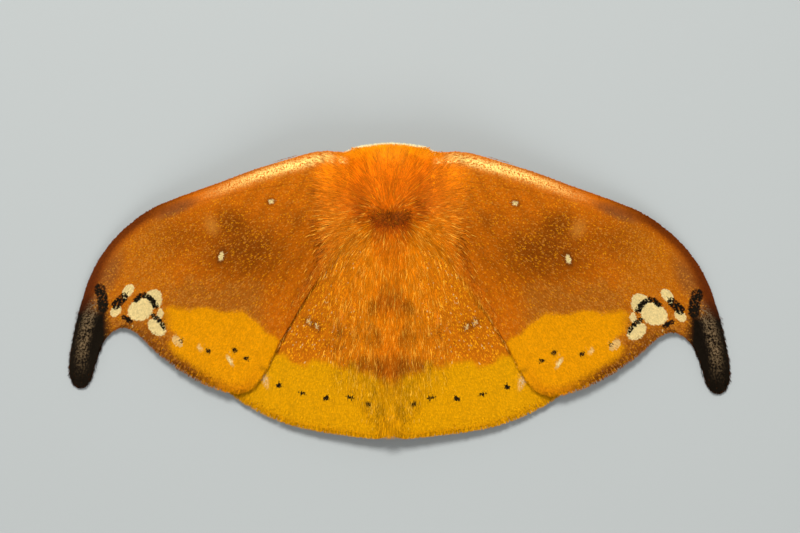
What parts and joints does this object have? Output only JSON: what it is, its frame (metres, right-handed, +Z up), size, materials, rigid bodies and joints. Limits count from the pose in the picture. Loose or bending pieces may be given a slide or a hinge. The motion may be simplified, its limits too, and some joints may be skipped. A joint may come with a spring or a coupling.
{
  "type": "hook-tip moth model",
  "caption": "Life-size still model of an orange and yellow hook-tip moth resting with its hooked forewings spread flat and its hairy body between them.",
  "frame": {"origin": "on the floor under the centre of the bounding box", "axes": "+Y the way the head points, +Z up out of the moth's back, +X towards the moth's right wing"},
  "size_m": [0.0399, 0.0176, 0.0048],
  "materials": {
    "head": "soft matt",
    "thorax": "soft matt",
    "abdomen": "soft matt",
    "eye_left": "glossy",
    "eye_right": "glossy",
    "palp_left": "soft matt",
    "palp_right": "soft matt",
    "antenna_left": "soft matt",
    "antenna_right": "soft matt",
    "forewing_left": "soft matt",
    "forewing_right": "soft matt",
    "hindwing_left": "soft matt",
    "hindwing_right": "soft matt",
    "leg_fore_left": "soft matt",
    "leg_fore_right": "soft matt",
    "leg_mid_left": "soft matt",
    "leg_mid_right": "soft matt",
    "leg_hind_left": "soft matt",
    "leg_hind_right": "soft matt"
  },
  "bodies": {
    "root": {"head": "head", "thorax": "thorax", "abdomen": "abdomen", "eye_left": "eye_left", "eye_right": "eye_right", "palp_left": "palp_left", "palp_right": "palp_right", "antenna_left": "antenna_left", "antenna_right": "antenna_right", "forewing_left": "forewing_left", "forewing_right": "forewing_right", "hindwing_left": "hindwing_left", "hindwing_right": "hindwing_right", "leg_fore_left": "leg_fore_left", "leg_fore_right": "leg_fore_right", "leg_mid_left": "leg_mid_left", "leg_mid_right": "leg_mid_right", "leg_hind_left": "leg_hind_left", "leg_hind_right": "leg_hind_right"}
  },
  "joints": []
}
